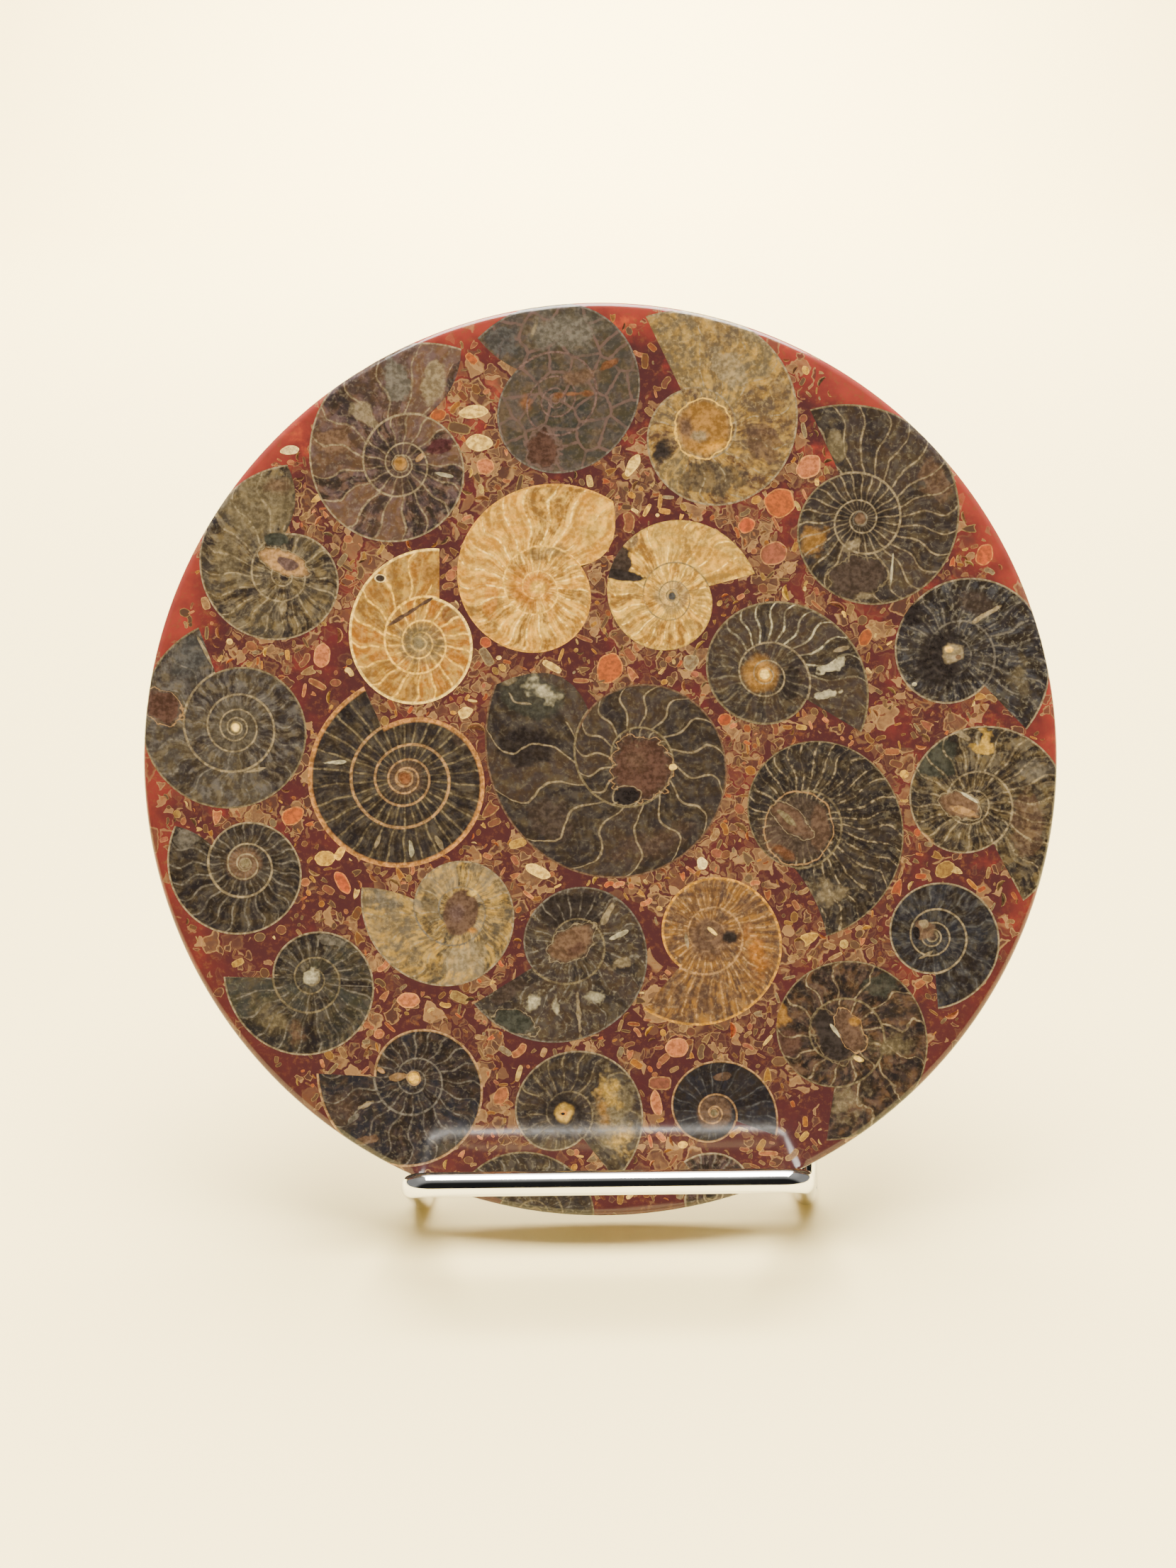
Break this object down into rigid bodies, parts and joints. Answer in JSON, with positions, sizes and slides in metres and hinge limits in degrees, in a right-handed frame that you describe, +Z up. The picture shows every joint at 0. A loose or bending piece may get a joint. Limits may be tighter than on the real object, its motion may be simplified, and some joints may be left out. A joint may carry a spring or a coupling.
{
  "type": "ammonite mosaic plate on stand",
  "caption": "Round polished plate of halved ammonites and shell chips set flush in red resin, leaning back on a small bent wire stand.",
  "frame": {"origin": "on the table, under the middle of the whole part", "axes": "+Z up, the polished face looks along -Y, +X to the viewer's right"},
  "size_m": [0.15, 0.0857, 0.1449],
  "materials": {
    "red_resin": "polished translucent red resin",
    "dark_ammonite": "polished dark calcite with pale septa",
    "brown_ammonite": "polished olive-brown calcite",
    "golden_ammonite": "polished golden calcite",
    "shell_chips": "polished shell and stone chips",
    "chrome_wire": "bright chrome plating"
  },
  "bodies": {
    "root": {"ammonite_01": "dark_ammonite", "ammonite_02": "dark_ammonite", "ammonite_03": "brown_ammonite", "ammonite_04": "dark_ammonite", "ammonite_05": "brown_ammonite", "ammonite_06": "golden_ammonite", "ammonite_07": "golden_ammonite", "ammonite_08": "golden_ammonite", "ammonite_09": "dark_ammonite", "ammonite_10": "dark_ammonite", "ammonite_11": "dark_ammonite", "ammonite_12": "dark_ammonite", "ammonite_13": "dark_ammonite", "ammonite_14": "dark_ammonite", "ammonite_15": "brown_ammonite", "ammonite_16": "dark_ammonite", "ammonite_17": "brown_ammonite", "ammonite_18": "dark_ammonite", "ammonite_19": "golden_ammonite", "ammonite_20": "brown_ammonite", "ammonite_21": "dark_ammonite", "ammonite_22": "dark_ammonite", "ammonite_23": "dark_ammonite", "ammonite_24": "brown_ammonite", "ammonite_25": "dark_ammonite", "ammonite_26": "dark_ammonite", "ammonite_27": "dark_ammonite", "back_bar": "chrome_wire", "chip_amber": "shell_chips", "chip_cream_bar": "shell_chips", "chip_cream_bean": "shell_chips", "chip_cream_cube": "shell_chips", "chip_cream_rim": "shell_chips", "chip_cream_rod": "shell_chips", "chip_cream_tooth": "shell_chips", "chip_cream_wedge": "shell_chips", "chip_grey_lozenge": "shell_chips", "chip_orange_knob": "shell_chips", "chip_orange_leaf": "shell_chips", "chip_orange_pebble": "shell_chips", "chip_orange_shard": "shell_chips", "chip_orange_slab": "shell_chips", "chip_pink_bean": "shell_chips", "chip_pink_block": "shell_chips", "chip_pink_cluster": "shell_chips", "chip_tan_flake": "shell_chips", "chip_tan_heart": "shell_chips", "chip_tan_leaf": "shell_chips", "chip_tan_strip": "shell_chips", "front_bar": "chrome_wire", "left_back_post": "chrome_wire", "left_base_rail": "chrome_wire", "left_leg": "chrome_wire", "rear_bar": "chrome_wire", "resin_plate": "red_resin", "right_back_post": "chrome_wire", "right_base_rail": "chrome_wire", "right_leg": "chrome_wire"}
  },
  "joints": []
}
